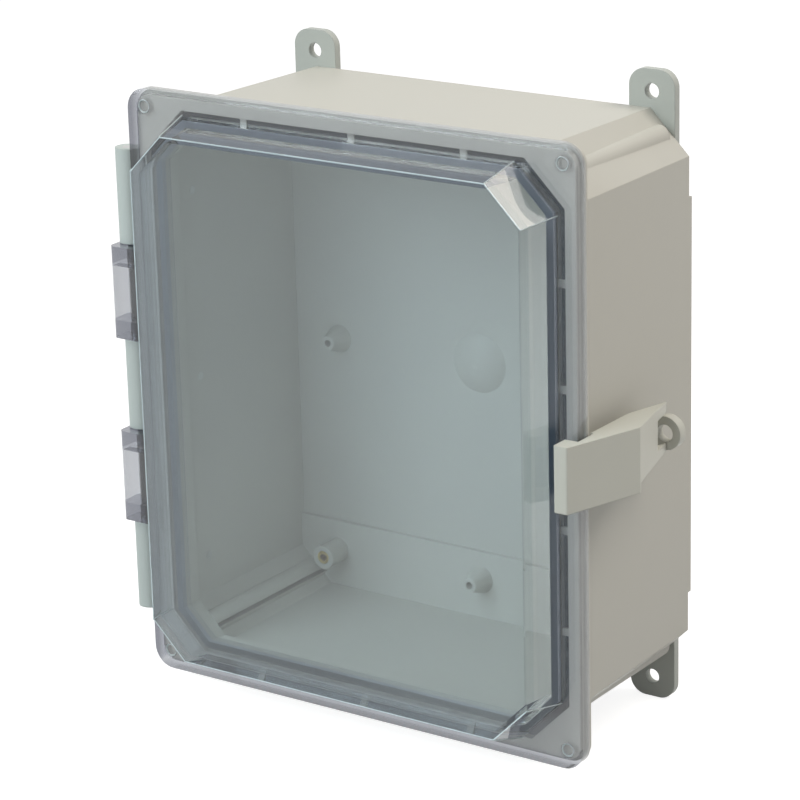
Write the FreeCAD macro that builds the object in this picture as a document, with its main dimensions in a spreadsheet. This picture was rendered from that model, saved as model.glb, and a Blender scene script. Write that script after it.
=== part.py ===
import FreeCAD, Part
import math
import os
import re
import Sketcher
from FreeCAD import Vector

# Wall-mounted hinged enclosure with a clear raised cover.
# Frame: origin on the wall, at the centre of the four wall holes. +X is the latch side,
# +Z is up, and the cover faces -Y. "Out" is the distance from the wall towards the front.
# All sizes are in millimetres.

SIZES = {
    # body shell
    "body_width": 226.0,
    "body_height": 269.0,
    "body_depth": 103.4,
    "body_draft": 2.0,
    "body_chamfer": 21.0,
    "wall": 5.0,
    "back_wall": 5.0,
    "wall_gap": 1.5,
    # rim of the body: flange, tongue, gutter and outer lip
    "rim_reach": 5.0,
    "rim_thick": 3.2,
    "rim_radius": 8.5,
    "rim_inset": 10.2,
    "ledge_thick": 3.5,
    "tongue_thick": 2.5,
    "tongue_height": 2.2,
    "gutter_width": 5.5,
    "gutter_sink": 4.5,
    "web_thick": 3.5,
    "web_top_pitch": 58.5,
    "web_side_inner": 32.0,
    "web_side_outer": 79.0,
    # inside of the body
    "band_start": 94.0,
    "boss_spacing_x": 168.0,
    "boss_spacing_z": 218.0,
    "boss_height": 13.0,
    "boss_width": 12.0,
    "stand_side": 81.0,
    "stand_top": 108.0,
    "stand_height": 10.0,
    "stand_base": 13.5,
    "stand_tip": 7.0,
    "stand_bore": 3.4,
    "stand_bore_depth": 8.0,
    "gate_width": 29.0,
    "gate_height": 4.5,
    "column_inset_x": 15.0,
    "column_inset_z": 13.5,
    "column_width": 11.0,
    "column_bore": 4.6,
    "column_slot": 2.2,
    # cover
    "seam": 0.3,
    "cover_reach": 1.5,
    "cover_depth": 6.0,
    "cover_thick": 3.0,
    "skirt_thick": 3.0,
    "pane_width": 218.2,
    "pane_height": 262.4,
    "pane_chamfer": 21.0,
    "pane_rise": 20.0,
    "pane_slope": 5.5,
    "pane_thick": 3.0,
    "channel_rib": 1.5,
    "channel_clear": 0.5,
    "groove_side": 0.8,
    "groove_roof": 1.3,
    "gasket_clear": 0.1,
    "dimple_width": 7.0,
    "dimple_depth": 1.4,
    "dimple_inset": 8.5,
    # hinge
    "pin_width": 5.0,
    "pin_clear": 0.05,
    "hinge_reach": 15.5,
    "hinge_sink": 3.2,
    "barrel_width": 12.0,
    "segment": 45.0,
    "segment_gap": 0.4,
    "hinge_below": 2.5,
    "knuckle_round": 3.0,
    "knuckle_proud": 1.0,
    "knuckle_pad": 7.8,
    "window_width": 9.7,
    "window_height": 26.0,
    "window_depth": 5.6,
    "strip_thick": 2.5,
    "strip_depth": 28.0,
    "arm_thick": 5.7,
    "hinge_screw_width": 4.0,
    "hinge_screw_head": 7.5,
    "hinge_screw_head_thick": 2.2,
    "hinge_screw_pitch": 90.0,
    "hinge_screw_back": 20.0,
    # latch lever and its pin
    "latch_height": 30.0,
    "latch_below": 1.5,
    "latch_proud": 12.5,
    "latch_pivot_in": 2.5,
    "latch_pivot_out": 5.5,
    "latch_pin_width": 2.5,
    "latch_pin_end": 2.5,
    "latch_clear": 0.5,
    "lip_width": 6.5,
    "lip_wall": 3.2,
    "lip_drop": 9.7,
    "lug_width": 5.6,
    "lug_height": 17.8,
    "lug_clear": 0.4,
    "lug_base": 1.0,
    "ridge_reach": 13.5,
    "ridge_back": 27.0,
    "tail_reach": 5.5,
    "tail_back": 63.0,
    "tail_start": 41.0,
    "tail_lower": 9.5,
    "latch_web": 2.5,
    "latch_skin": 3.0,
    "slot_back": 51.0,
    "slot_low": 4.0,
    "slot_high": 10.0,
    # padlock staple
    "eye_reach": 12.0,
    "eye_below": 1.5,
    "eye_out": 45.0,
    "eye_width": 15.5,
    "eye_bore": 8.0,
    "eye_thick": 5.0,
    "neck_height": 9.0,
    "staple_screw_width": 3.0,
    "staple_screw_head": 6.0,
    "staple_screw_head_thick": 1.8,
    "staple_screw_bite": 5.0,
    "seat_lift": 0.02,
    # mounting feet and the seats of their fixing screws
    "hole_spacing_x": 184.0,
    "hole_spacing_z": 280.0,
    "screw_seat_pitch": 220.0,
    "foot_width": 23.5,
    "foot_thick": 4.0,
    "foot_start": 98.0,
    "foot_end": 150.0,
    "foot_round": 8.0,
    "foot_hole": 7.2,
    "screw_seat_width": 9.0,
    "screw_seat_depth": 2.2,
    # threaded inserts of the inner bosses
    "insert_width": 6.6,
    "insert_bore": 3.6,
    "insert_length": 8.0,
}

# Places along "out", worked out from the sizes above.
BACK = "wall_gap"
FLOOR = "(wall_gap + back_wall)"
STEP = "(foot_thick - wall_gap)"
HIGH_FLOOR = f"({FLOOR} + {STEP})"
RIM = "(wall_gap + body_depth)"
GUTTER_FLOOR = f"({RIM} - gutter_sink)"
LEDGE_FLOOR = f"({GUTTER_FLOOR} - ledge_thick)"
LEDGE_FOOT = f"({LEDGE_FLOOR} - (rim_inset - wall))"
TONGUE_TOP = f"({RIM} + tongue_height)"
COVER_BACK = f"({RIM} + seam)"
COVER_FRONT = f"({COVER_BACK} + cover_depth)"
PLATE_BACK = f"({COVER_FRONT} - cover_thick)"
LIP_TOP = f"({PLATE_BACK} - seam)"
CHANNEL_BACK = f"({COVER_BACK} + channel_clear)"
GROOVE_ROOF = f"({COVER_FRONT} - groove_roof)"
PANE_FRONT = f"({COVER_FRONT} + pane_rise)"
BOSS_TIP = f"({HIGH_FLOOR} + boss_height)"
HINGE_OUT = f"({RIM} - hinge_sink)"
LATCH_PIVOT_OUT = f"({COVER_FRONT} + latch_pivot_out)"

# Places across the front, as half widths and half heights.
COVER_HALF_WIDTH = "(body_width / 2 + rim_reach + cover_reach)"
COVER_HALF_HEIGHT = "(body_height / 2 + rim_reach + cover_reach)"
SKIRT_HALF_WIDTH = f"({COVER_HALF_WIDTH} - skirt_thick)"
SKIRT_HALF_HEIGHT = f"({COVER_HALF_HEIGHT} - skirt_thick)"
RIM_HALF_WIDTH = "(body_width / 2 + rim_reach)"
RIM_HALF_HEIGHT = "(body_height / 2 + rim_reach)"
TONGUE_OUTER = "(rim_inset - tongue_thick)"
GUTTER_OUTER = f"({TONGUE_OUTER} - gutter_width)"
GROOVE_OUTER = f"({TONGUE_OUTER} - groove_side)"
GROOVE_INNER = "(rim_inset + groove_side)"
CHANNEL_OUTER = f"({GROOVE_OUTER} - channel_rib)"
CHANNEL_INNER = f"({GROOVE_INNER} + channel_rib)"
HINGE_X = "(body_width / 2 + hinge_reach)"
LATCH_PIVOT_X = f"({COVER_HALF_WIDTH} - latch_pivot_in)"
HINGE_Z = "(-hinge_below)"
LATCH_Z = "(-latch_below)"
EYE_Z = "(-eye_below)"
BOSS_X = "(boss_spacing_x / 2)"
BOSS_Z = "(boss_spacing_z / 2)"
COLUMN_X = "(body_width / 2 - column_inset_x)"
COLUMN_Z = "(body_height / 2 - column_inset_z)"
FOOT_X = "(hole_spacing_x / 2)"
FOOT_HOLE_Z = "(hole_spacing_z / 2)"
SCREW_SEAT_Z = "(screw_seat_pitch / 2)"
EYE_X = f"(body_width / 2 - body_draft * ({RIM} - eye_out) / body_depth + eye_reach)"

CORNERS = {
    "top_left": (-1, 1),
    "top_right": (1, 1),
    "bottom_left": (-1, -1),
    "bottom_right": (1, -1),
}

doc = FreeCAD.newDocument("Enclosure")
pieces = []


def fill_sheet():
    """Put every driving size in a sheet, one cell each, under its own name."""
    sheet = doc.addObject("Spreadsheet::Sheet", "Sizes")
    for row, (name, number) in enumerate(SIZES.items(), start=1):
        sheet.set(f"A{row}", name)
        sheet.set(f"B{row}", str(number))
        sheet.setAlias(f"B{row}", name)
    doc.recompute()
    return sheet


def bound(text):
    """Point the size names in an expression at the sheet's cells."""
    return re.sub(r"[a-z]\w*", lambda word: cell(word.group()), text)


def cell(word):
    return "Sizes." + word if word in SIZES else word


def number(text):
    """The present value of an expression."""
    found = sizes.evalExpression(bound(text))
    return float(getattr(found, "Value", found))


def signed(sign, text):
    return text if sign > 0 else f"-({text})"


def wall_x(out):
    """Half width of the drafted body at a distance from the wall."""
    return f"(body_width / 2 - body_draft * ({RIM} - ({out})) / body_depth)"


def new_piece(label):
    body = doc.addObject("PartDesign::Body", label)
    body.Label = label
    pieces.append(body)
    return body


def new_sketch(body, role, offset):
    """A sketch on one of the body's own planes, moved along the plane's normal."""
    sketch = body.newObject("Sketcher::SketchObject", "Sketch")
    plane = next(item for item in body.Origin.OriginFeatures if item.Role == role)
    sketch.AttachmentSupport = [(plane, "")]
    sketch.MapMode = "FlatFace"
    sketch.setExpression("AttachmentOffset.Base.z", bound(offset))
    return sketch


def front_sketch(body, out):
    """A sketch seen from the front, with X across and Z up."""
    return new_sketch(body, "XZ_Plane", out)


def top_sketch(body, height):
    """A sketch seen from above, with X across and Y towards the wall."""
    return new_sketch(body, "XY_Plane", height)


def side_sketch(body, across):
    """A sketch seen from the latch side, with Y across and Z up."""
    return new_sketch(body, "YZ_Plane", across)


def constrain(sketch, kind, references, text=None):
    """Add a constraint, bound to an expression where it has a size."""
    if text is None:
        sketch.addConstraint(Sketcher.Constraint(kind, *references))
        return
    index = sketch.addConstraint(Sketcher.Constraint(kind, *references, number(text)))
    name = f"size_{index}"
    sketch.renameConstraint(index, name)
    sketch.setExpression(f"Constraints.{name}", bound(text))


def place_point(sketch, geometry, point, x, y):
    """Fix one point of the sketch by its distances from the origin."""
    for kind, axis, text in (("DistanceX", -2, x), ("DistanceY", -1, y)):
        if text == "0":
            constrain(sketch, "PointOnObject", (geometry, point, axis))
        else:
            constrain(sketch, kind, (-1, 1, geometry, point), text)


def corner_points(before, corner, after, radius):
    """The two tangent points and the centre of a rounded corner."""
    to_before = (before - corner).normalize()
    to_after = (after - corner).normalize()
    half_angle = to_before.getAngle(to_after) / 2
    reach = radius / math.tan(half_angle)
    middle = (to_before + to_after).normalize()
    centre = corner + middle * (radius / math.sin(half_angle))
    return corner + to_before * reach, corner + to_after * reach, centre


def draw_outline(sketch, corners):
    """A closed outline, anticlockwise. Each corner is x, y and, where it is rounded, a radius."""
    points = [Vector(number(item[0]), number(item[1]), 0) for item in corners]
    count = len(points)
    starts = []
    ends = []
    arcs = []
    for index, item in enumerate(corners):
        corner = points[index]
        if len(item) < 3:
            starts.append(corner)
            ends.append(corner)
            arcs.append(None)
            continue
        before = points[index - 1]
        after = points[(index + 1) % count]
        radius = number(item[2])
        first, second, centre = corner_points(before, corner, after, radius)
        left_turn = (corner - before).cross(after - corner).z > 0
        low, high = (first, second) if left_turn else (second, first)
        low_angle = math.atan2(low.y - centre.y, low.x - centre.x)
        high_angle = math.atan2(high.y - centre.y, high.x - centre.x)
        circle = Part.Circle(centre, Vector(0, 0, 1), radius)
        ends.append(first)
        starts.append(second)
        arcs.append((Part.ArcOfCircle(circle, low_angle, high_angle), left_turn))
    lines = []
    for index in range(count):
        segment = Part.LineSegment(starts[index], ends[(index + 1) % count])
        lines.append(sketch.addGeometry(segment, False))
    for index, item in enumerate(corners):
        line_in = lines[index - 1]
        line_out = lines[index]
        if arcs[index] is None:
            constrain(sketch, "Coincident", (line_in, 2, line_out, 1))
            place_point(sketch, line_out, 1, item[0], item[1])
            continue
        arc, left_turn = arcs[index]
        curve = sketch.addGeometry(arc, False)
        mark = sketch.addGeometry(Part.Point(points[index]), True)
        place_point(sketch, mark, 1, item[0], item[1])
        constrain(sketch, "PointOnObject", (mark, 1, line_in))
        constrain(sketch, "PointOnObject", (mark, 1, line_out))
        constrain(sketch, "Tangent", (line_in, 2, curve, 1 if left_turn else 2))
        constrain(sketch, "Tangent", (line_out, 1, curve, 2 if left_turn else 1))
        constrain(sketch, "Radius", (curve,), item[2])


def draw_circle(sketch, x, y, diameter):
    circle = Part.Circle(Vector(number(x), number(y), 0), Vector(0, 0, 1), number(diameter) / 2)
    index = sketch.addGeometry(circle, False)
    place_point(sketch, index, 3, x, y)
    constrain(sketch, "Diameter", (index,), diameter)


def octagon(half_width, half_height, chamfer):
    """A rectangle with its four corners cut at 45 degrees."""
    short_x = f"({half_width} - {chamfer})"
    short_z = f"({half_height} - {chamfer})"
    return [
        (half_width, f"-{short_z}"),
        (half_width, short_z),
        (short_x, half_height),
        (f"-{short_x}", half_height),
        (f"-{half_width}", short_z),
        (f"-{half_width}", f"-{short_z}"),
        (f"-{short_x}", f"-{half_height}"),
        (short_x, f"-{half_height}"),
    ]


def body_octagon(inset):
    """The body's front outline, moved inwards by an even distance."""
    return octagon(
        f"(body_width / 2 - {inset})",
        f"(body_height / 2 - {inset})",
        f"(body_chamfer - (2 - sqrt(2)) * {inset})",
    )


def pane_octagon(inset):
    """The outline of the raised pane, moved inwards by an even distance."""
    return octagon(
        f"(pane_width / 2 - {inset})",
        f"(pane_height / 2 - {inset})",
        f"(pane_chamfer - (2 - sqrt(2)) * {inset})",
    )


def eight_sides(x, z, width):
    """A small regular octagon round a centre."""
    reach = f"{width} / 2"
    short = f"{width} * (sqrt(2) - 1) / 2"
    return [
        (f"{x} + {reach}", f"{z} - {short}"),
        (f"{x} + {reach}", f"{z} + {short}"),
        (f"{x} + {short}", f"{z} + {reach}"),
        (f"{x} - {short}", f"{z} + {reach}"),
        (f"{x} - {reach}", f"{z} + {short}"),
        (f"{x} - {reach}", f"{z} - {short}"),
        (f"{x} - {short}", f"{z} - {reach}"),
        (f"{x} + {short}", f"{z} - {reach}"),
    ]


def rounded_rectangle(half_width, half_height, radius):
    return [
        (half_width, f"-{half_height}", radius),
        (half_width, half_height, radius),
        (f"-{half_width}", half_height, radius),
        (f"-{half_width}", f"-{half_height}", radius),
    ]


def rectangle(left, right, low, high):
    return [(left, low), (right, low), (right, high), (left, high)]


def extrude(body, kind, sketch, length, reverse=False):
    """A Pad or a Pocket. On a front sketch a Pad goes forwards and a Pocket cuts backwards."""
    feature = body.newObject("PartDesign::" + kind, kind)
    feature.Profile = sketch
    feature.Reversed = reverse
    feature.setExpression("Length", bound(length))
    return feature


def layer(body, kind, out, length, *outlines):
    """Pad or cut flat outlines drawn at one distance from the wall."""
    sketch = front_sketch(body, out)
    for corners in outlines:
        draw_outline(sketch, corners)
    return extrude(body, kind, sketch, length)


def loft(body, kind, sections):
    """Join outlines at several distances from the wall with flat faces."""
    sketches = []
    for out, corners in sections:
        sketch = front_sketch(body, out)
        draw_outline(sketch, corners)
        sketches.append(sketch)
    feature = body.newObject("PartDesign::" + kind, kind)
    feature.Profile = sketches[0]
    feature.Sections = sketches[1:]
    feature.Ruled = True
    return feature


def turn(body, kind, sketch, axis):
    """Turn a profile once round one of the sketch's own axes."""
    feature = body.newObject("PartDesign::" + kind, kind)
    feature.Profile = sketch
    feature.ReferenceAxis = (sketch, [axis])
    feature.Angle = 360
    return feature


def rounds(body, kind, out, length, diameter, centres):
    """Round studs that stand forwards, or round holes cut backwards, from one distance."""
    sketch = front_sketch(body, out)
    for x, z in centres:
        draw_circle(sketch, x, z, diameter)
    return extrude(body, kind, sketch, length)


def four_corners(x, z):
    """The same place in all four corners of the front."""
    return [(signed(right, x), signed(up, z)) for right, up in CORNERS.values()]


def cone(body, x, z, out, base, tip, height):
    """A standing boss with a taper, pointing forwards from one distance."""
    feature = body.newObject("PartDesign::AdditiveCone", "Cone")
    plane = next(item for item in body.Origin.OriginFeatures if item.Role == "XZ_Plane")
    feature.AttachmentSupport = [(plane, "")]
    feature.MapMode = "FlatFace"
    feature.setExpression("AttachmentOffset.Base.x", bound(x))
    feature.setExpression("AttachmentOffset.Base.y", bound(z))
    feature.setExpression("AttachmentOffset.Base.z", bound(out))
    feature.setExpression("Radius1", bound(f"{base} / 2"))
    feature.setExpression("Radius2", bound(f"{tip} / 2"))
    feature.setExpression("Height", bound(height))
    return feature


def place(body, x="0", out="0", z="0"):
    """Move a finished piece to its place."""
    body.setExpression("Placement.Base.x", bound(x))
    body.setExpression("Placement.Base.y", bound(f"-({out})"))
    body.setExpression("Placement.Base.z", bound(z))


def make_body_shell(body):
    """Drafted walls, back and stepped rim opening."""
    loft(body, "AdditiveLoft", [(BACK, body_octagon("body_draft")), (RIM, body_octagon("0"))])
    flange = rounded_rectangle(RIM_HALF_WIDTH, RIM_HALF_HEIGHT, "rim_radius")
    layer(body, "Pad", f"{RIM} - rim_thick", "rim_thick", flange)
    lip_radius = "(rim_radius + cover_reach - skirt_thick - seam)"
    lip = rounded_rectangle(f"({SKIRT_HALF_WIDTH} - seam)", f"({SKIRT_HALF_HEIGHT} - seam)", lip_radius)
    layer(body, "Pad", RIM, f"{LIP_TOP} - {RIM}", lip)
    loft(body, "SubtractiveLoft", [
        (FLOOR, body_octagon("(wall + body_draft)")),
        (LEDGE_FOOT, body_octagon("wall")),
        (LEDGE_FLOOR, body_octagon("rim_inset")),
        (LIP_TOP, body_octagon("rim_inset")),
    ])


def make_rim_details(body):
    """The gutter between tongue and lip, and the small webs that bridge it."""
    gutter_depth = f"{LIP_TOP} - {GUTTER_FLOOR}"
    gutter_outer = body_octagon(GUTTER_OUTER)
    layer(body, "Pocket", LIP_TOP, gutter_depth, body_octagon(TONGUE_OUTER), gutter_outer)
    tongue_ring = (body_octagon("rim_inset"), body_octagon(TONGUE_OUTER))
    layer(body, "Pocket", LIP_TOP, f"{LIP_TOP} - {TONGUE_TOP}", *tongue_ring)
    web_height = f"{RIM} - {GUTTER_FLOOR}"
    half = "web_thick / 2"
    for sign in (1, -1):
        low = f"(body_height / 2 - {TONGUE_OUTER} - 0.5)"
        high = f"(body_height / 2 - {GUTTER_OUTER} + 0.5)"
        low, high = (low, high) if sign > 0 else (f"-{high}", f"-{low}")
        for step in (-1, 0, 1):
            middle = f"{step} * web_top_pitch"
            web = rectangle(f"{middle} - {half}", f"{middle} + {half}", low, high)
            layer(body, "Pad", GUTTER_FLOOR, web_height, web)
        left = f"(body_width / 2 - {TONGUE_OUTER} - 0.5)"
        right = f"(body_width / 2 - {GUTTER_OUTER} + 0.5)"
        left, right = (left, right) if sign > 0 else (f"-{right}", f"-{left}")
        for height in ("web_side_outer", "web_side_inner", "-web_side_inner", "-web_side_outer"):
            web = rectangle(left, right, f"{height} - {half}", f"{height} + {half}")
            layer(body, "Pad", GUTTER_FLOOR, web_height, web)


def make_back_bands(body):
    """Seats for the feet across the back, and the raised floor inside above each seat."""
    across = "(body_width / 2)"
    for sign in (1, -1):
        edge = signed(sign, "band_start")
        far = signed(sign, "body_height / 2")
        low, high = (edge, far) if sign > 0 else (far, edge)
        layer(body, "Pocket", "foot_thick", STEP, rectangle(f"-{across}", across, low, high))
    half_width = "(body_width / 2 - wall)"
    half_height = "(body_height / 2 - wall)"
    cut_x = f"({half_width} - body_chamfer + 2)"
    cut_z = f"({half_height} - body_chamfer + 2)"
    upper = [
        (half_width, "band_start"),
        (half_width, cut_z),
        (cut_x, half_height),
        (f"-{cut_x}", half_height),
        (f"-{half_width}", cut_z),
        (f"-{half_width}", "band_start"),
    ]
    lower = [(x, f"-{z}") for x, z in reversed(upper)]
    for corners in (upper, lower):
        layer(body, "Pad", FLOOR, STEP, corners)


def make_inner_bosses(body):
    """Insert bosses, small stand-offs, the gate dome and the slotted corner columns."""
    column_length = f"({LEDGE_FLOOR} - {HIGH_FLOOR} + 1)"
    columns = four_corners(COLUMN_X, COLUMN_Z)
    bosses = four_corners(BOSS_X, BOSS_Z)
    rounds(body, "Pad", f"{HIGH_FLOOR} - 1", column_length, "column_width", columns)
    rounds(body, "Pad", f"{HIGH_FLOOR} - 1", "boss_height + 1", "boss_width", bosses)
    stands = [
        ("stand_side", "0", FLOOR),
        ("-stand_side", "0", FLOOR),
        ("0", "stand_top", HIGH_FLOOR),
        ("0", "-stand_top", HIGH_FLOOR),
    ]
    for x, z, floor in stands:
        cone(body, x, z, floor, "stand_base", "stand_tip", "stand_height")
        bore = eight_sides(x, z, "stand_bore")
        layer(body, "Pocket", f"{floor} + stand_height", "stand_bore_depth", bore)
    rounds(body, "Pocket", LEDGE_FLOOR, column_length, "column_bore", columns)
    slots = []
    for right, up in CORNERS.values():
        x = signed(right, COLUMN_X)
        z = signed(up, COLUMN_Z)
        far = signed(-right, "column_width / 2 + 1")
        left, right_end = (f"{x} + {far}", x) if right > 0 else (x, f"{x} + {far}")
        slots.append(rectangle(left, right_end, f"{z} - column_slot / 2", f"{z} + column_slot / 2"))
    layer(body, "Pocket", LEDGE_FLOOR, column_length, *slots)


def make_gate_dome(body):
    """The low round dome in the middle of the back wall."""
    radius = "(gate_width * gate_width / 4 + gate_height * gate_height) / (2 * gate_height)"
    sketch = top_sketch(body, "0")
    base = number(f"-{FLOOR} + 1")
    floor = number(f"-{FLOOR}")
    top = number(f"-({FLOOR} + gate_height)")
    half = number("gate_width / 2")
    centre = Vector(0, top + number(radius), 0)
    start = math.atan2(top - centre.y, 0)
    end = math.atan2(floor - centre.y, half)
    points = [Vector(0, top, 0), Vector(half, floor, 0), Vector(half, base, 0), Vector(0, base, 0)]
    circle = Part.Circle(centre, Vector(0, 0, 1), number(radius))
    arc = sketch.addGeometry(Part.ArcOfCircle(circle, start, end), False)
    wall = sketch.addGeometry(Part.LineSegment(points[1], points[2]), False)
    bottom = sketch.addGeometry(Part.LineSegment(points[2], points[3]), False)
    axis = sketch.addGeometry(Part.LineSegment(points[3], points[0]), False)
    constrain(sketch, "Coincident", (arc, 2, wall, 1))
    constrain(sketch, "Coincident", (wall, 2, bottom, 1))
    constrain(sketch, "Coincident", (bottom, 2, axis, 1))
    constrain(sketch, "Coincident", (axis, 2, arc, 1))
    constrain(sketch, "Vertical", (wall,))
    constrain(sketch, "Horizontal", (bottom,))
    constrain(sketch, "PointOnObject", (axis, 1, -2))
    constrain(sketch, "PointOnObject", (axis, 2, -2))
    constrain(sketch, "PointOnObject", (arc, 3, -2))
    constrain(sketch, "DistanceY", (-1, 1, axis, 2), f"-({FLOOR} + gate_height)")
    constrain(sketch, "DistanceY", (-1, 1, wall, 2), f"-{FLOOR} + 1")
    constrain(sketch, "DistanceX", (-1, 1, wall, 1), "gate_width / 2")
    constrain(sketch, "DistanceY", (-1, 1, wall, 1), f"-{FLOOR}")
    turn(body, "Revolution", sketch, "V_Axis")


def make_fastener_holes(body):
    """Bores for the inserts, and pilot holes in the side walls."""
    rounds(body, "Pocket", BOSS_TIP, "insert_length", "insert_width", four_corners(BOSS_X, BOSS_Z))
    sketch = side_sketch(body, f"-({wall_x(RIM)} - 2 * wall)")
    for step in (-1, 0, 1):
        draw_circle(sketch, f"-({HINGE_OUT} - hinge_screw_back)", hinge_screw_z(step), "hinge_screw_width")
    extrude(body, "Pocket", sketch, "3 * wall")
    sketch = side_sketch(body, wall_x(RIM))
    draw_circle(sketch, "-eye_out", EYE_Z, "staple_screw_width")
    extrude(body, "Pocket", sketch, "2 * wall")


def hinge_screw_z(step):
    return f"({HINGE_Z} + {step} * hinge_screw_pitch)"


def make_enclosure_body():
    body = new_piece("enclosure_body")
    make_body_shell(body)
    make_rim_details(body)
    make_back_bands(body)
    make_inner_bosses(body)
    make_gate_dome(body)
    make_fastener_holes(body)


def make_cover_plate(body):
    """Flange with its skirt, raised pane and gasket channel, hollow from behind."""
    cover_radius = "(rim_radius + cover_reach)"
    edge = rounded_rectangle(COVER_HALF_WIDTH, COVER_HALF_HEIGHT, cover_radius)
    layer(body, "Pad", COVER_BACK, "cover_depth", edge)
    loft(body, "AdditiveLoft", [(COVER_FRONT, pane_octagon("0")), (PANE_FRONT, pane_octagon("pane_slope"))])
    inner_edge = rounded_rectangle(SKIRT_HALF_WIDTH, SKIRT_HALF_HEIGHT, f"({cover_radius} - skirt_thick)")
    layer(body, "Pocket", PLATE_BACK, f"{PLATE_BACK} - {COVER_BACK}", inner_edge)
    channel_depth = f"{PLATE_BACK} - {CHANNEL_BACK}"
    layer(body, "Pad", CHANNEL_BACK, channel_depth, body_octagon(CHANNEL_OUTER))
    loft(body, "SubtractiveLoft", [
        (CHANNEL_BACK, body_octagon(CHANNEL_INNER)),
        (f"{PANE_FRONT} - pane_thick", pane_octagon("(pane_slope + pane_thick)")),
    ])
    groove = (body_octagon(GROOVE_INNER), body_octagon(GROOVE_OUTER))
    layer(body, "Pocket", GROOVE_ROOF, f"{GROOVE_ROOF} - {CHANNEL_BACK}", *groove)


def make_cover_knuckles(body):
    """Two hinge knuckles that lap over the flange, each with a window in its front."""
    edge = f"-{COVER_HALF_WIDTH}"
    far = f"-({HINGE_X} + barrel_width / 2)"
    near = f"-({HINGE_X} - barrel_width / 2)"
    front = f"-({COVER_FRONT} + knuckle_proud)"
    in_plate = f"-({COVER_FRONT} - cover_thick / 2)"
    back = f"-({HINGE_OUT} - barrel_width / 2)"
    skirt_back = f"-{COVER_BACK}"
    round_back = "(barrel_width / 2 - 0.1)"
    corners = [
        (f"{edge} + knuckle_pad", front),
        (f"{edge} + knuckle_pad", in_plate),
        (f"{edge} + 1", in_plate),
        (f"{edge} + 1", skirt_back),
        (near, skirt_back),
        (near, back, round_back),
        (far, back, round_back),
        (far, front, "knuckle_round"),
    ]
    for sign in (1, -1):
        middle = f"{HINGE_Z} + {sign} * segment"
        sketch = top_sketch(body, f"{middle} - segment / 2 + segment_gap")
        draw_outline(sketch, corners)
        extrude(body, "Pad", sketch, "segment - 2 * segment_gap")
    windows = []
    for sign in (1, -1):
        middle = f"{HINGE_Z} + {sign} * segment"
        left = f"-{HINGE_X} - window_width / 2 + 1"
        right = f"-{HINGE_X} + window_width / 2 + 1"
        half = "window_height / 2"
        windows.append(rectangle(left, right, f"{middle} - {half}", f"{middle} + {half}"))
    layer(body, "Pocket", f"{COVER_FRONT} + knuckle_proud", "window_depth", *windows)
    sketch = top_sketch(body, f"{HINGE_Z} + 1.5 * segment + 1")
    draw_circle(sketch, f"-{HINGE_X}", f"-{HINGE_OUT}", "pin_width + 2 * pin_clear")
    extrude(body, "Pocket", sketch, "3 * segment + 2")


def make_latch_lug(body):
    """The lug on the right edge of the cover that carries the latch pin."""
    half = "lug_width / 2"
    corners = [
        (f"{LATCH_PIVOT_X} - {half}", f"-{COVER_FRONT} + lug_base"),
        (f"{LATCH_PIVOT_X} - {half}", f"-{LATCH_PIVOT_OUT} - {half}", f"{half} - 0.1"),
        (f"{LATCH_PIVOT_X} + {half}", f"-{LATCH_PIVOT_OUT} - {half}", f"{half} - 0.1"),
        (f"{LATCH_PIVOT_X} + {half}", f"-{COVER_FRONT} + lug_base"),
    ]
    sketch = top_sketch(body, f"{LATCH_Z} - lug_height / 2")
    draw_outline(sketch, corners)
    extrude(body, "Pad", sketch, "lug_height")
    sketch = top_sketch(body, f"{LATCH_Z} + lug_height / 2 + 1")
    draw_circle(sketch, LATCH_PIVOT_X, f"-{LATCH_PIVOT_OUT}", "latch_pin_width")
    extrude(body, "Pocket", sketch, "lug_height + 2")


def make_clear_cover():
    body = new_piece("clear_cover")
    make_cover_plate(body)
    make_cover_knuckles(body)
    make_latch_lug(body)
    x = f"({COVER_HALF_WIDTH} - dimple_inset)"
    z = f"({COVER_HALF_HEIGHT} - dimple_inset)"
    rounds(body, "Pocket", COVER_FRONT, "dimple_depth", "dimple_width", four_corners(x, z))


def make_gasket():
    body = new_piece("cover_gasket")
    inner = body_octagon(f"({GROOVE_INNER} - gasket_clear)")
    outer = body_octagon(f"({GROOVE_OUTER} + gasket_clear)")
    bottom = f"({TONGUE_TOP} + seam)"
    layer(body, "Pad", bottom, f"{GROOVE_ROOF} - {bottom}", inner, outer)


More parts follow.
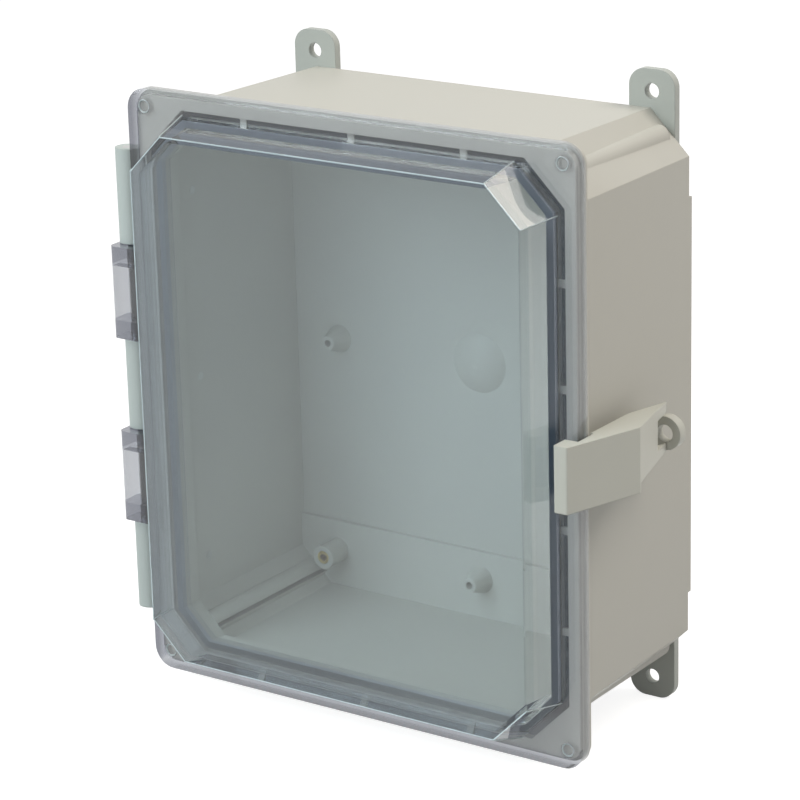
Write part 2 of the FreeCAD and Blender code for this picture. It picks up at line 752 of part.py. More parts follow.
def make_hinge_rail():
    """Grey strip on the body's left wall with three barrels that hold the pin."""
    body = new_piece("hinge_rail")
    strip_front = f"({HINGE_OUT} - 0.3)"
    strip_back = f"({strip_front} - strip_depth)"
    sketch = top_sketch(body, f"{HINGE_Z} - 2.5 * segment")
    draw_outline(sketch, [
        (f"-{wall_x(strip_front)}", f"-{strip_front}"),
        (f"-{wall_x(strip_back)}", f"-{strip_back}"),
        (f"-({wall_x(strip_back)} + strip_thick)", f"-{strip_back}"),
        (f"-({wall_x(strip_front)} + strip_thick)", f"-{strip_front}"),
    ])
    extrude(body, "Pad", sketch, "5 * segment")
    for middle in (-2, 0, 2):
        low = f"{HINGE_Z} + ({middle} - 0.5) * segment"
        sketch = top_sketch(body, low)
        draw_outline(sketch, rectangle(
            f"-{HINGE_X}",
            f"-({wall_x(strip_front)} + 1)",
            f"-{strip_front}",
            f"-({strip_front} - arm_thick)",
        ))
        extrude(body, "Pad", sketch, "segment")
        sketch = top_sketch(body, low)
        draw_circle(sketch, f"-{HINGE_X}", f"-{HINGE_OUT}", "barrel_width")
        extrude(body, "Pad", sketch, "segment")
    sketch = top_sketch(body, f"{HINGE_Z} + 2.5 * segment + 1")
    draw_circle(sketch, f"-{HINGE_X}", f"-{HINGE_OUT}", "pin_width")
    extrude(body, "Pocket", sketch, "5 * segment + 2")
    sketch = side_sketch(body, f"-{wall_x(RIM)} + 1")
    for step in (-1, 0, 1):
        draw_circle(sketch, f"-({HINGE_OUT} - hinge_screw_back)", hinge_screw_z(step), "hinge_screw_width")
    extrude(body, "Pocket", sketch, "strip_thick + body_draft + 2")


def make_pin(label, diameter, low, length, x, out):
    body = new_piece(label)
    sketch = top_sketch(body, low)
    draw_circle(sketch, "0", "0", diameter)
    extrude(body, "Pad", sketch, length)
    place(body, x, out)


def turned_screw(label, head, head_thick, width, length):
    """A screw with its head at the origin and its shank along +X."""
    body = new_piece(label)
    sketch = top_sketch(body, "0")
    draw_outline(sketch, [
        ("0", "0"),
        (length, "0"),
        (length, f"{width} / 2"),
        (head_thick, f"{width} / 2"),
        (head_thick, f"{head} / 2"),
        ("0", f"{head} / 2"),
    ])
    turn(body, "Revolution", sketch, "H_Axis")
    return body


def head_lift(head):
    """How far a flat head stands off the drafted wall so that its rim clears the slope."""
    return f"(body_draft / body_depth * {head} / 2 + seat_lift)"


def make_hinge_screws():
    for name, step in (("top", 1), ("middle", 0), ("bottom", -1)):
        label = f"hinge_screw_{name}"
        length = "(hinge_screw_head_thick + strip_thick + wall)"
        body = turned_screw(label, "hinge_screw_head", "hinge_screw_head_thick", "hinge_screw_width", length)
        out = f"({HINGE_OUT} - hinge_screw_back)"
        seat = f"-({wall_x(out)} + strip_thick + hinge_screw_head_thick + {head_lift('hinge_screw_head')})"
        place(body, seat, out, hinge_screw_z(step))


def latch_face(back):
    """The x of the lever's outer face at a distance behind the front of the cover."""
    rise = f"(ridge_reach + {COVER_HALF_WIDTH} - {LATCH_PIVOT_X} - lip_width / 2)"
    share = f"({back} + latch_proud) / (ridge_back + latch_proud)"
    return f"({LATCH_PIVOT_X} + lip_width / 2 + {rise} * {share})"


def make_latch_lever():
    """Moulded lever: lip over the cover's edge, outer plate, ridge and forked tail."""
    body = new_piece("latch_lever")
    front = f"-({COVER_FRONT} + latch_proud)"
    inner_lip = f"({LATCH_PIVOT_X} - lip_width / 2 - 0.25)"
    clear_edge = f"({COVER_HALF_WIDTH} + latch_clear)"
    swing_edge = f"({RIM_HALF_WIDTH} + latch_clear)"
    lip_bottom = f"({front} + lip_drop)"
    corners = [
        (inner_lip, front, "1"),
        (f"({LATCH_PIVOT_X} + lip_width / 2)", front, "1"),
        (f"({COVER_HALF_WIDTH} + ridge_reach)", f"-({COVER_FRONT} - ridge_back)", "1.5"),
        (f"({COVER_HALF_WIDTH} + tail_reach)", f"-({COVER_FRONT} - tail_back)"),
        (f"({swing_edge} + 0.3)", f"-({COVER_FRONT} - tail_start)", "12"),
        (swing_edge, f"-({RIM} - rim_thick - latch_clear)"),
        (clear_edge, f"-({RIM} - rim_thick - latch_clear)"),
        (clear_edge, lip_bottom),
        (inner_lip, lip_bottom),
    ]
    sketch = top_sketch(body, "-latch_height / 2")
    draw_outline(sketch, corners)
    extrude(body, "Pad", sketch, "latch_height")
    sketch = top_sketch(body, "lug_height / 2 + 0.4")
    draw_outline(sketch, rectangle(
        f"{inner_lip} - 1",
        f"({LATCH_PIVOT_X} + lug_width / 2 + lug_clear)",
        f"{front} + lip_wall",
        f"-{COVER_FRONT} + lug_base + 2 * lug_clear",
    ))
    extrude(body, "Pocket", sketch, "lug_height + 0.8")
    hollow_front = "2"
    hollow_back = "(tail_start + 2)"
    sketch = top_sketch(body, "latch_height / 2 - latch_web")
    draw_outline(sketch, [
        (f"({swing_edge} - 4)", f"-({COVER_FRONT} - {hollow_front})"),
        (f"({latch_face(hollow_front)} - latch_skin)", f"-({COVER_FRONT} - {hollow_front})"),
        (f"({COVER_HALF_WIDTH} + ridge_reach - latch_skin - 0.2)", f"-({COVER_FRONT} - ridge_back)"),
        (f"({COVER_HALF_WIDTH} + ridge_reach - 2.4 * latch_skin)", f"-({COVER_FRONT} - {hollow_back})"),
        (f"({swing_edge} - 4)", f"-({COVER_FRONT} - {hollow_back})"),
    ])
    extrude(body, "Pocket", sketch, "latch_height - 2 * latch_web")
    sketch = side_sketch(body, f"({COVER_HALF_WIDTH} + ridge_reach + 2)")
    low = "(-latch_height / 2)"
    draw_outline(sketch, [
        (f"-({COVER_FRONT} - ridge_back - 1)", f"{low} - 1"),
        (f"-({COVER_FRONT} - tail_back - 2)", f"{low} - 1"),
        (f"-({COVER_FRONT} - tail_back - 2)", "-tail_lower + 2"),
        (f"-({COVER_FRONT} - ridge_back - 1)", "-tail_lower - 1"),
    ])
    extrude(body, "Pocket", sketch, "2 * ridge_reach + 4")
    sketch = side_sketch(body, f"({COVER_HALF_WIDTH} + ridge_reach + 2)")
    draw_outline(sketch, rectangle(
        f"-({COVER_FRONT} - slot_back)",
        f"-({COVER_FRONT} - tail_back - 2)",
        "-slot_low",
        "slot_high",
    ))
    extrude(body, "Pocket", sketch, "2 * ridge_reach + 4")
    sketch = top_sketch(body, "latch_height / 2 - latch_pin_end")
    draw_circle(sketch, LATCH_PIVOT_X, f"-{LATCH_PIVOT_OUT}", "latch_pin_width + 2 * pin_clear")
    extrude(body, "Pocket", sketch, "latch_height")
    place(body, z=LATCH_Z)


def make_padlock_staple():
    """The eye behind the lever's tail, on a neck screwed from inside the wall."""
    body = new_piece("padlock_staple")
    sketch = front_sketch(body, "eye_out - eye_thick / 2")
    draw_circle(sketch, EYE_X, EYE_Z, "eye_width")
    extrude(body, "Pad", sketch, "eye_thick")
    half = "neck_height / 2"
    seat = wall_x("eye_out")
    sketch = top_sketch(body, f"{EYE_Z} - {half}")
    front = "-(eye_out + eye_thick / 2)"
    back = "-(eye_out - eye_thick / 2)"
    draw_outline(sketch, [
        (wall_x("eye_out + eye_thick / 2"), front),
        (f"({EYE_X} - eye_bore / 2 - 1)", front),
        (f"({EYE_X} - eye_bore / 2 - 1)", back),
        (wall_x("eye_out - eye_thick / 2"), back),
    ])
    extrude(body, "Pad", sketch, "neck_height")
    sketch = front_sketch(body, "eye_out + eye_thick / 2 + 1")
    draw_circle(sketch, EYE_X, EYE_Z, "eye_bore")
    extrude(body, "Pocket", sketch, "eye_thick + 2")
    sketch = side_sketch(body, f"({seat} + staple_screw_bite - 2)")
    draw_circle(sketch, "-eye_out", EYE_Z, "staple_screw_width")
    extrude(body, "Pocket", sketch, "2 * staple_screw_bite")


def make_staple_screw():
    length = "(staple_screw_head_thick + wall + staple_screw_bite - 2.2)"
    body = turned_screw(
        "staple_screw", "staple_screw_head", "staple_screw_head_thick", "staple_screw_width", length
    )
    seat = f"({wall_x('eye_out')} - wall - staple_screw_head_thick - {head_lift('staple_screw_head')})"
    place(body, seat, "eye_out", EYE_Z)


def make_foot(name, right, up):
    """One mounting foot: a plate with a rounded free end, a wall hole and a seat for its screw."""
    body = new_piece(f"mounting_foot_{name}")
    x = signed(right, FOOT_X)
    left = f"{x} - foot_width / 2"
    right_side = f"{x} + foot_width / 2"
    start = (signed(up, "foot_start"),)
    end = (signed(up, "foot_end"), "foot_round")
    low, high = (start, end) if up > 0 else (end, start)
    layer(body, "Pad", "0", "foot_thick", [
        (left, *low),
        (right_side, *low),
        (right_side, *high),
        (left, *high),
    ])
    rounds(body, "Pocket", "foot_thick + 1", "foot_thick + 2", "foot_hole", [(x, signed(up, FOOT_HOLE_Z))])
    seat = [(x, signed(up, SCREW_SEAT_Z))]
    rounds(body, "Pocket", "screw_seat_depth", "screw_seat_depth + 1", "screw_seat_width", seat)


def make_insert(name, right, up):
    """Threaded brass insert, flush with the tip of its boss."""
    body = new_piece(f"panel_insert_{name}")
    sketch = front_sketch(body, f"{BOSS_TIP} - insert_length")
    draw_circle(sketch, signed(right, BOSS_X), signed(up, BOSS_Z), "insert_width")
    draw_circle(sketch, signed(right, BOSS_X), signed(up, BOSS_Z), "insert_bore")
    extrude(body, "Pad", sketch, "insert_length")


def check_and_write():
    """Stop on a failed object or solid, then write one file for each piece."""
    doc.recompute()
    for item in doc.Objects:
        failed = {"Invalid", "Error"} & set(item.State)
        if failed:
            raise RuntimeError(f"{item.Label} is {failed}")
    for piece in pieces:
        if piece.Shape.isNull() or not piece.Shape.isValid():
            raise RuntimeError(f"{piece.Label} has no valid shape")
    os.makedirs("parts", exist_ok=True)
    for piece in pieces:
        piece.Shape.exportStep(f"parts/{piece.Label}.step")
        print(piece.Label, "solids", len(piece.Shape.Solids), "volume", round(piece.Shape.Volume))


sizes = fill_sheet()
make_enclosure_body()
make_clear_cover()
make_gasket()
make_hinge_rail()
make_pin("hinge_pin", "pin_width", f"{HINGE_Z} - 2.5 * segment", "5 * segment", f"-{HINGE_X}", HINGE_OUT)
make_hinge_screws()
make_latch_lever()
make_pin(
    "latch_pin",
    "latch_pin_width",
    f"{LATCH_Z} - latch_height / 2 + 0.2",
    "latch_height - latch_pin_end - 0.4",
    LATCH_PIVOT_X,
    LATCH_PIVOT_OUT,
)
make_padlock_staple()
make_staple_screw()
for corner, (side, level) in CORNERS.items():
    make_foot(corner, side, level)
    make_insert(corner, side, level)
check_and_write()
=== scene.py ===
import math

import bmesh
import bpy
from mathutils import Matrix, Vector


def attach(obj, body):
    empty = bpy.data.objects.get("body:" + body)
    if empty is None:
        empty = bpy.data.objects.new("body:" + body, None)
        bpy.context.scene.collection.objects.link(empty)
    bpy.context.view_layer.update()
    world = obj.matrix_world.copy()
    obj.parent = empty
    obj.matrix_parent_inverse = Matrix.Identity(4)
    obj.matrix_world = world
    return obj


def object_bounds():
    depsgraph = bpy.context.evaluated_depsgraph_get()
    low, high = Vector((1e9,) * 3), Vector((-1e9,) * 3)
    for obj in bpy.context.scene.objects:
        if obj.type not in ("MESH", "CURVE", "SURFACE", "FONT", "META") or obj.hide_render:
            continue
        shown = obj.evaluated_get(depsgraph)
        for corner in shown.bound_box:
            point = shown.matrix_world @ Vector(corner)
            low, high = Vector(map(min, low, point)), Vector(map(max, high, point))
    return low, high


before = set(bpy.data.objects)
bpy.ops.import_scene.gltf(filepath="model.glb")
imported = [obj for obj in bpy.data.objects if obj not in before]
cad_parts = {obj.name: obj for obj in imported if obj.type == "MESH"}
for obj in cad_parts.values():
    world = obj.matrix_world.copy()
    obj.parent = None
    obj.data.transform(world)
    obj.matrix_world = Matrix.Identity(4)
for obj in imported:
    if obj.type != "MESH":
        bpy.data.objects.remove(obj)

CAD_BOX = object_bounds()

# Corners of the object as seen from the front, with the signs of their x and z
CORNERS = {
    "top_left": (-1, 1),
    "top_right": (1, 1),
    "bottom_left": (-1, -1),
    "bottom_right": (1, -1),
}

# Camera
CAMERA_AZIMUTH = 34.98
CAMERA_ELEVATION = 18.14
CAMERA_ROLL = -1.51
CAMERA_TARGET = (-0.0091, -0.0600, -0.0045)
CAMERA_DISTANCE = 1.488
CAMERA_LENS = 145.7
CAMERA_REACH = 50.0
SENSOR_WIDTH = 36.0

# Light. Each lamp has a place, a size, a power and a colour.
LAMPS = {
    "front_lamp": ((-0.50, -1.45, 0.95), 1.2, 19.0, (0.90, 0.985, 1.0)),
    "back_top_lamp": ((0.72, 0.31, 1.02), 0.62, 8.2, (1.0, 0.94, 0.86)),
    "top_lamp": ((-0.30, -0.25, 1.45), 0.9, 3.3, (1.0, 0.97, 0.92)),
}
LAMP_AIM = (0.0, -0.05, 0.0)
WHITE = (1.0, 1.0, 1.0)
WORLD_FILL = 0.30
WORLD_SEEN = 1.0
FLOOR_COLOUR = (0.47, 0.47, 0.47)
FLOOR_GLOW = 0.85
FLOOR_SIZE = 14.0

# Colours of the moulded plastics and the seal, of the painted highlights on the cover's edges, and of the
# painted shade in the gutter
BODY_COLOUR = (0.54, 0.53, 0.48)
RAIL_COLOUR = (0.52, 0.57, 0.55)
LATCH_COLOUR = (0.58, 0.58, 0.52)
FOOT_COLOUR = (0.455, 0.478, 0.446)
SEAL_COLOUR = (0.42, 0.45, 0.50)
# Pale colour of the painted highlights along the cover's edges and in its dimples
EDGE_HIGHLIGHT_COLOUR = (0.66, 0.72, 0.73)
# Near-black strips paint the shade deep in the gutter. They are painted paler at the bottom, where the
# gutter shows light.
GUTTER_SHADE_COLOUR = (0.018, 0.022, 0.032)
GUTTER_LIT_COLOUR = (0.25, 0.26, 0.28)

# Their roughness, how far it varies, the height of their grain in metres, and how far the colour varies
PLASTIC_ROUGHNESS = 0.48
SEAL_ROUGHNESS = 0.6
EDGE_HIGHLIGHT_ROUGHNESS = 0.25
GUTTER_SHADE_ROUGHNESS = 0.75
PLASTIC_GLOSS = (-0.05, 0.07)
PLASTIC_GRAIN = 0.00002
LATCH_GRAIN = 0.00009
GUTTER_SHADE_GRAIN = 0.0003
GRAIN_STRENGTH = 0.5
PLASTIC_SPREAD = 0.03
GUTTER_SHADE_SPREAD = 0.25

# Colours and roughness of the metals, their turning marks in metres, and their tarnish
STEEL_COLOUR = (0.62, 0.62, 0.61)
STEEL_ROUGHNESS = 0.34
BRASS_COLOUR = (0.84, 0.64, 0.22)
BRASS_ROUGHNESS = 0.28
METAL_GLOSS = (-0.06, 0.1)
MARK_HEIGHT = 0.00004
MARK_STRENGTH = 0.4
TARNISH_TINT = 0.86

# Scale, detail and roughness of each noise, and the stretch of a noise that a blend goes over
FLOW_MARKS = (14.0, 3.0, 0.5)
FINE_GRAIN = (1500.0, 2.0, 0.6)
CLEAR_CLOUD = (9.0, 2.0, 0.5)
CLEAR_WAVES = (26.0, 1.0, 0.5)
TARNISH = (60.0, 3.0, 0.5)
TURNING_MARKS = (2400.0, 2.0, 0.5)
NOISE_STRETCH = (0.3, 0.7)

# Clear plastic. Its coat reflects as polycarbonate does, and light goes through it almost straight.
CLEAR_IOR = 1.06
COAT_IOR = 1.585
COAT_ROUGHNESS = 0.015
CLEAR_ROUGHNESS = (0.012, 0.03)
CLOUD_TINT = 0.985
WAVE_HEIGHT = 0.0002
WAVE_STRENGTH = 0.2
DEPTH_COLOUR = (0.14, 0.27, 0.38)
DEPTH_DENSITY = 12.0

# Tints of its zones, and the tints of the light that they let through to what lies behind
WALL_TINT = (0.88, 0.89, 0.91)
PANE_TINT = (0.59, 0.65, 0.68)
# Painted light: the lower pane's paler tint stands in for more light on the lower inside
PANE_LIT_LOW_TINT = (0.68, 0.74, 0.765)
FLANGE_TINT = (0.61, 0.62, 0.64)
KNUCKLE_TINT = (0.205, 0.212, 0.245)
WALL_SHADE = (0.84, 0.85, 0.86)
PANE_SHADE = (0.60, 0.635, 0.655)
FLANGE_SHADE = (0.66, 0.67, 0.68)

# Where the tint of the pane's front begins, where it is painted paler to stand in for more light on the
# lower inside, and where that of the flange begins
FRONT_STRETCH = (-0.1268, -0.1276)
PANE_LIT_STRETCH = (0.03, -0.11)
FLANGE_X = (0.1088, 0.1094)
FLANGE_Z = (0.1309, 0.1315)
FLANGE_SUM = (0.2190, 0.2198)

# Where the tint of the knuckles begins, on the hinge side, and that of the skirt at the bottom
DEEP_LEFT = (-0.1135, -0.1175)
DEEP_LOW = (-0.1355, -0.1395)

# Windows of the hinge knuckles: the height midway between them, the way from it to each, and half its height
WINDOW_MIDDLE = -0.0025
WINDOW_PITCH = 0.045
WINDOW_EDGE = (0.0127, 0.0133)

# Share of the knuckles' tint that their windows and the bottom skirt have
WINDOW_SHARE = 0.35
SKIRT_SHARE = 0.72

# Where the painted shade in the gutter turns paler, painted lighter at the bottom where the gutter shows
# light
GUTTER_LIT_LOW = (-0.1165, -0.1265)

# Radius of the moulded edges, in metres, and the rays that look for them
EDGE_ROUND = 0.0007
CLEAR_EDGE_ROUND = 0.0004
EDGE_SAMPLES = 4

# Sockets of a mix node that mixes colours
MIX_FIRST_COLOUR = 6
MIX_RESULT = 2

# Sizes from here on are in metres, and those of the body and the cover are as in the part's source.

# Half width, half height and chamfer of the body's front and of the raised pane's foot
BODY_OUTLINE = (0.1130, 0.1345, 0.0210)
PANE_OUTLINE = (0.1091, 0.1312, 0.0210)

# How much shorter an octagon's chamfer gets as its outline moves inwards by 1
CHAMFER_LOSS = 2 - math.sqrt(2)

# Gutter in the body's rim
GUTTER_OUTER = 0.0022
GUTTER_INNER = 0.0077
GUTTER_FLOOR = 0.1004

# Dark strips that paint the shade in the gutter: their gap to its sides, how much of it they leave bare
# inside, and their height
SHADE_STRIP_CLEAR = 0.0001
SHADE_STRIP_BARE = 0.0011
SHADE_STRIP_THICK = 0.0038

# Webs across the gutter, by the octagon's side: x at the top and bottom, and z at the right and left
WEB_WIDTH = 0.0035
WEBS_LEVEL = (-0.0585, 0.0, 0.0585)
WEBS_UPRIGHT = (-0.079, -0.032, 0.032, 0.079)
WEBS = {0: WEBS_UPRIGHT, 2: WEBS_LEVEL, 4: WEBS_UPRIGHT, 6: WEBS_LEVEL}

# Raised pane of the cover, and the painted highlights along its edges
PANE_SLOPE = 0.0055
PANE_FRONT = 0.1312
EDGE_BEAD = 0.0005
EDGE_BEAD_SINK = 0.00005
CORNER_BEAD = 0.0003
BEAD_FOOT = 0.1112

# Corner dimples of the cover, and the painted highlight rings in them
DIMPLE_X = 0.1110
DIMPLE_Z = 0.1325
DIMPLE_FLOOR = 0.1098
RING_OUTER = 0.0033
RING_MIDDLE = 0.0029
RING_INNER = 0.0024
RING_RISE = 0.0005

# Fixing screws of the feet, measured from the wall
SCREW_X = 0.092
SCREW_Z = 0.110
SCREW_SEAT = 0.0022
SCREW_HEAD = 0.0042
SCREW_CROWN = 0.0035
SCREW_RIM = 0.0011
SCREW_TOP = 0.0003
CROSS_REACH = 0.0021
CROSS_HALF = 0.0005
CROSS_DEPTH = 0.0011

# Points round a ring or a screw head
ROUND_STEPS = 32


def camera_axes():
    """The camera's right, up and backward directions."""
    azimuth = math.radians(CAMERA_AZIMUTH)
    elevation = math.radians(CAMERA_ELEVATION)
    roll = math.radians(CAMERA_ROLL)
    back = Vector((
        math.sin(azimuth) * math.cos(elevation),
        -math.cos(azimuth) * math.cos(elevation),
        math.sin(elevation),
    ))
    level = Vector((math.cos(azimuth), math.sin(azimuth), 0.0))
    upright = back.cross(level)
    right = level * math.cos(roll) + upright * math.sin(roll)
    up = upright * math.cos(roll) - level * math.sin(roll)
    return right, up, back


def add_camera():
    right, up, back = camera_axes()
    data = bpy.data.cameras.new("view_camera")
    data.lens = CAMERA_LENS
    data.sensor_width = SENSOR_WIDTH
    data.sensor_fit = "HORIZONTAL"
    data.clip_end = CAMERA_REACH
    camera = bpy.data.objects.new("view_camera", data)
    bpy.context.scene.collection.objects.link(camera)
    turn = Matrix((right, up, back)).transposed().to_4x4()
    place = Vector(CAMERA_TARGET) + back * CAMERA_DISTANCE
    camera.matrix_world = Matrix.Translation(place) @ turn
    bpy.context.scene.camera = camera


def add_lamps():
    for name, (place, size, power, colour) in LAMPS.items():
        data = bpy.data.lights.new(name, "AREA")
        data.shape = "SQUARE"
        data.size = size
        data.energy = power
        data.color = colour
        lamp = bpy.data.objects.new(name, data)
        bpy.context.scene.collection.objects.link(lamp)
        lamp.location = place
        aim = Vector(LAMP_AIM) - Vector(place)
        lamp.rotation_euler = aim.to_track_quat("-Z", "Y").to_euler()


def new_material(name):
    material = bpy.data.materials.new(name)
    material.use_nodes = True
    tree = material.node_tree
    tree.nodes.clear()
    return material, tree


def show_surface(tree, surface):
    """Link a shader to a new material output, and return the output."""
    output = tree.nodes.new("ShaderNodeOutputMaterial")
    tree.links.new(surface, output.inputs["Surface"])
    return output


def number(tree, operation, first, second=None):
    """The result of an operation on one or two numbers. Each is a socket or a value."""
    node = tree.nodes.new("ShaderNodeMath")
    node.operation = operation
    for socket, value in zip(node.inputs, (first, second)):
        if value is None:
            continue
        if isinstance(value, float):
            socket.default_value = value
        else:
            tree.links.new(value, socket)
    return node.outputs[0]


def spread_over(tree, value, stretch, low=0.0, high=1.0):
    """A number that goes from low to high as a value goes over a stretch."""
    node = tree.nodes.new("ShaderNodeMapRange")
    node.inputs["From Min"].default_value = stretch[0]
    node.inputs["From Max"].default_value = stretch[1]
    node.inputs["To Min"].default_value = low
    node.inputs["To Max"].default_value = high
    tree.links.new(value, node.inputs["Value"])
    return node.outputs["Result"]


def mixed_colour(tree, factor, low, high):
    """Two colours mixed by a factor. Each is a socket or a colour."""
    node = tree.nodes.new("ShaderNodeMix")
    node.data_type = "RGBA"
    tree.links.new(factor, node.inputs["Factor"])
    for socket, colour in zip(node.inputs[MIX_FIRST_COLOUR:], (low, high)):
        if isinstance(colour, tuple):
            socket.default_value = (*colour, 1.0)
        else:
            tree.links.new(colour, socket)
    return node.outputs[MIX_RESULT]


def seen_ray(tree):
    """1 for rays from the camera, mirrors and glass, and 0 for the rest."""
    path = tree.nodes.new("ShaderNodeLightPath")
    direct = number(tree, "MAXIMUM", path.outputs["Is Camera Ray"], path.outputs["Is Glossy Ray"])
    return number(tree, "MAXIMUM", direct, path.outputs["Is Transmission Ray"])


def add_world():
    """A weak even fill on the object, and a white background."""
    world = bpy.data.worlds.new("studio")
    bpy.context.scene.world = world
    world.use_nodes = True
    tree = world.node_tree
    tree.nodes.clear()
    mix = tree.nodes.new("ShaderNodeMixShader")
    tree.links.new(seen_ray(tree), mix.inputs[0])
    for socket, strength in zip(mix.inputs[1:], (WORLD_FILL, WORLD_SEEN)):
        light = tree.nodes.new("ShaderNodeBackground")
        light.inputs["Color"].default_value = (*WHITE, 1.0)
        light.inputs["Strength"].default_value = strength
        tree.links.new(light.outputs[0], socket)
    output = tree.nodes.new("ShaderNodeOutputWorld")
    tree.links.new(mix.outputs[0], output.inputs[0])


def add_floor():
    """A plain floor that takes the object's shadow and looks pale to the camera."""
    material, tree = new_material("pale_floor")
    plain = tree.nodes.new("ShaderNodeBsdfDiffuse")
    plain.inputs["Color"].default_value = (*FLOOR_COLOUR, 1.0)
    glow = tree.nodes.new("ShaderNodeEmission")
    tree.links.new(number(tree, "MULTIPLY", seen_ray(tree), FLOOR_GLOW), glow.inputs["Strength"])
    both = tree.nodes.new("ShaderNodeAddShader")
    tree.links.new(plain.outputs[0], both.inputs[0])
    tree.links.new(glow.outputs[0], both.inputs[1])
    show_surface(tree, both.outputs[0])
    half = FLOOR_SIZE / 2
    low = CAD_BOX[0][2]
    corners = [(-half, -half, low), (half, -half, low), (half, half, low), (-half, half, low)]
    mesh = bpy.data.meshes.new("floor")
    mesh.from_pydata(corners, [], [(0, 1, 2, 3)])
    mesh.materials.append(material)
    floor = bpy.data.objects.new("floor", mesh)
    bpy.context.scene.collection.objects.link(floor)


def noise(tree, where, scale, detail, roughness):
    node = tree.nodes.new("ShaderNodeTexNoise")
    node.inputs["Scale"].default_value = scale
    node.inputs["Detail"].default_value = detail
    node.inputs["Roughness"].default_value = roughness
    tree.links.new(where, node.inputs["Vector"])
    return node.outputs["Fac"]


def clouded(tree, cloud, low, high):
    """Two colours that a cloudy noise blends."""
    ramp = tree.nodes.new("ShaderNodeValToRGB")
    for element, place, colour in zip(ramp.color_ramp.elements, NOISE_STRETCH, (low, high)):
        element.position = place
        element.color = (*colour, 1.0)
    tree.links.new(cloud, ramp.inputs[0])
    return ramp.outputs[0]


def varied(tree, cloud, middle, limits):
    """A number that a noise moves between limits below and above its middle."""
    low, high = limits
    return spread_over(tree, cloud, NOISE_STRETCH, middle + low, middle + high)


def soft_edges(tree, radius):
    """Normals that turn over the edges as on a moulding with a small radius."""
    node = tree.nodes.new("ShaderNodeBevel")
    node.samples = EDGE_SAMPLES
    node.inputs["Radius"].default_value = radius
    return node.outputs["Normal"]


def raised(tree, height, strength, distance):
    """The bump node of a surface that a noise raises."""
    bump = tree.nodes.new("ShaderNodeBump")
    bump.inputs["Strength"].default_value = strength
    bump.inputs["Distance"].default_value = distance
    tree.links.new(height, bump.inputs["Height"])
    return bump


def scaled(colour, factor):
    return tuple(channel * factor for channel in colour)


def moulded_plastic(
    name, colour, rough=PLASTIC_ROUGHNESS, grain=PLASTIC_GRAIN, spread=PLASTIC_SPREAD, pale=None,
):
    """Moulded plastic with a fine even grain, faint flow marks and slight changes of gloss.

    With a pale colour it turns to that one at the bottom, which paints light on the lower part of the
    gutter's painted shade.
    """
    material, tree = new_material(name)
    where = tree.nodes.new("ShaderNodeTexCoord").outputs["Object"]
    cloud = noise(tree, where, *FLOW_MARKS)
    tint = clouded(tree, cloud, scaled(colour, 1.0 - spread), scaled(colour, 1.0 + spread))
    # A pale colour paints light at the bottom of the gutter's painted shade
    if pale is not None:
        place = tree.nodes.new("ShaderNodeSeparateXYZ")
        tree.links.new(where, place.inputs[0])
        tint = mixed_colour(tree, spread_over(tree, place.outputs["Z"], GUTTER_LIT_LOW), tint, pale)
    shader = tree.nodes.new("ShaderNodeBsdfPrincipled")
    tree.links.new(tint, shader.inputs["Base Color"])
    tree.links.new(varied(tree, cloud, rough, PLASTIC_GLOSS), shader.inputs["Roughness"])
    bump = raised(tree, noise(tree, where, *FINE_GRAIN), GRAIN_STRENGTH, grain)
    tree.links.new(soft_edges(tree, EDGE_ROUND), bump.inputs["Normal"])
    tree.links.new(bump.outputs[0], shader.inputs["Normal"])
    show_surface(tree, shader.outputs[0])
    return material


def cover_zones(tree, place):
    """1 on the pane's front, 1 on the flange, and 1 in the knuckles and part of it in the bottom skirt."""
    x, y, z = place.outputs
    front = spread_over(tree, y, FRONT_STRETCH)
    half_x = number(tree, "ABSOLUTE", x)
    half_z = number(tree, "ABSOLUTE", z)
    aside = spread_over(tree, half_x, FLANGE_X)
    above = spread_over(tree, half_z, FLANGE_Z)
    outside_chamfer = spread_over(tree, number(tree, "ADD", half_x, half_z), FLANGE_SUM)
    flange = number(tree, "MAXIMUM", number(tree, "MAXIMUM", aside, above), outside_chamfer)
    from_middle = number(tree, "ABSOLUTE", number(tree, "SUBTRACT", z, WINDOW_MIDDLE))
    from_window = number(tree, "ABSOLUTE", number(tree, "SUBTRACT", from_middle, WINDOW_PITCH))
    framed = number(tree, "MAXIMUM", spread_over(tree, from_window, WINDOW_EDGE), WINDOW_SHARE)
    knuckle = number(tree, "MINIMUM", spread_over(tree, x, DEEP_LEFT), framed)
    skirt = number(tree, "MULTIPLY", spread_over(tree, z, DEEP_LOW), SKIRT_SHARE)
    return front, flange, number(tree, "MAXIMUM", knuckle, skirt)


def cover_tint(tree, cloud, place, zones):
    """Colour of the clear plastic, zone by zone, with the pane painted paler towards the bottom."""
    front, flange, deep = zones
    # The pane is painted paler towards the bottom, standing in for the brighter light on the lower inside
    lit_share = spread_over(tree, place.outputs["Z"], PANE_LIT_STRETCH)
    pane = mixed_colour(tree, lit_share, PANE_TINT, PANE_LIT_LOW_TINT)
    tint = clouded(tree, cloud, scaled(WALL_TINT, CLOUD_TINT), WALL_TINT)
    tint = mixed_colour(tree, front, tint, pane)
    tint = mixed_colour(tree, flange, tint, FLANGE_TINT)
    return mixed_colour(tree, deep, tint, KNUCKLE_TINT)


